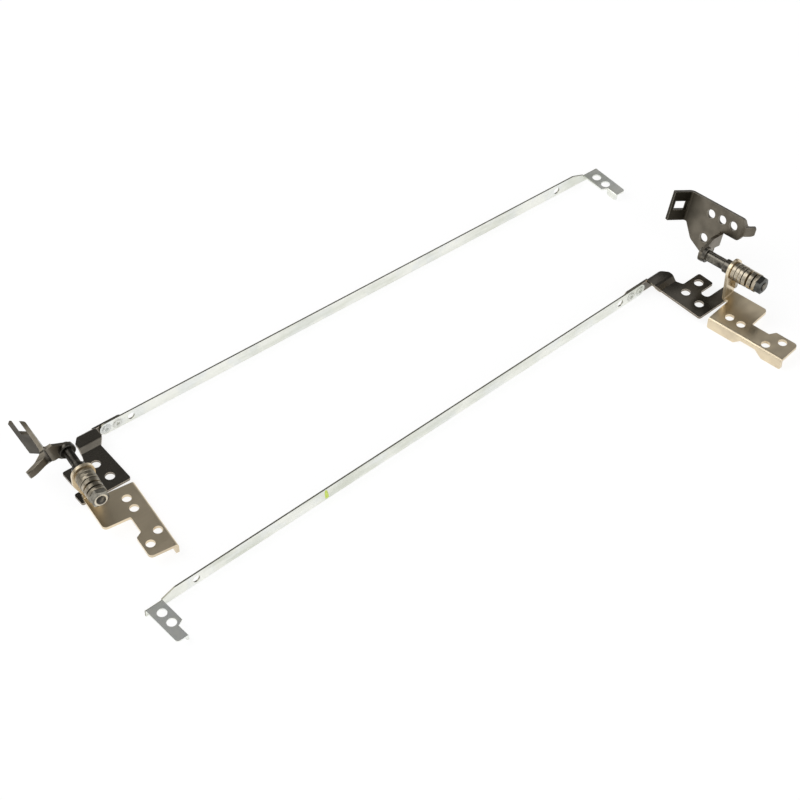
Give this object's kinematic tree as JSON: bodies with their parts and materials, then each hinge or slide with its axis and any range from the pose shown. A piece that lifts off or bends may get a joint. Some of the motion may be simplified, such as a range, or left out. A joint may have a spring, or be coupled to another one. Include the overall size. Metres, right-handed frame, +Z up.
{
  "type": "laptop hinge set",
  "caption": "Laptop hinge set: folded lid brackets and base arms joined by friction shafts with washer stacks, beside slim display side rails with joggled screw plates.",
  "frame": {"origin": "on the table under the middle of the whole set's bounding box", "axes": "+Z up from the table, +Y along the rails towards the left rail's flag, +X from the left rail towards the right one"},
  "size_m": [0.1146, 0.2362, 0.0251],
  "materials": {
    "bronze_plate": "satin bronze-coloured plating on sheet steel",
    "gunmetal_plate": "dull grey-brown plating on sheet steel",
    "dark_steel": "turned steel, darkened",
    "washer_steel": "oiled bare steel",
    "black_steel": "blackened steel",
    "bright_zinc": "bright zinc plating",
    "black_plate": "satin black coating on sheet steel"
  },
  "bodies": {
    "lid_side": {"left_lid_bracket": "bronze_plate", "left_friction_washer": "washer_steel", "left_rail_strip": "bright_zinc", "left_rail_plate": "black_plate", "left_rail_rivet_1": "bright_zinc", "left_rail_rivet_2": "bright_zinc", "right_lid_bracket": "bronze_plate", "right_friction_washer": "washer_steel", "right_rail_strip": "bright_zinc", "right_rail_plate": "black_plate", "right_rail_rivet_1": "bright_zinc", "right_rail_rivet_2": "bright_zinc"},
    "left_arm": {"left_base_arm": "gunmetal_plate", "left_hinge_shaft": "dark_steel", "left_thrust_washer": "washer_steel", "left_spacer_washer": "washer_steel", "left_spring_washer_1": "washer_steel", "left_spring_washer_2": "washer_steel", "left_spring_washer_3": "washer_steel", "left_spring_washer_4": "washer_steel", "left_end_washer": "washer_steel", "left_end_nut": "black_steel"},
    "right_arm": {"right_base_arm": "gunmetal_plate", "right_hinge_shaft": "dark_steel", "right_thrust_washer": "washer_steel", "right_spacer_washer": "washer_steel", "right_spring_washer_1": "washer_steel", "right_spring_washer_2": "washer_steel", "right_spring_washer_3": "washer_steel", "right_spring_washer_4": "washer_steel", "right_end_washer": "washer_steel", "right_end_nut": "black_steel"}
  },
  "joints": [
    {"name": "left_hinge", "type": "hinge", "parent": "lid_side", "child": "left_arm", "pos_m": [-0.02646, -0.10451, 0.0137], "axis": [0.9906, -0.1366, 0], "range_deg": [-108, 30]},
    {"name": "right_hinge", "type": "hinge", "parent": "lid_side", "child": "right_arm", "pos_m": [0.03232, 0.10372, 0.0137], "axis": [-0.9906, -0.1366, 0], "range_deg": [-108, 30]}
  ]
}
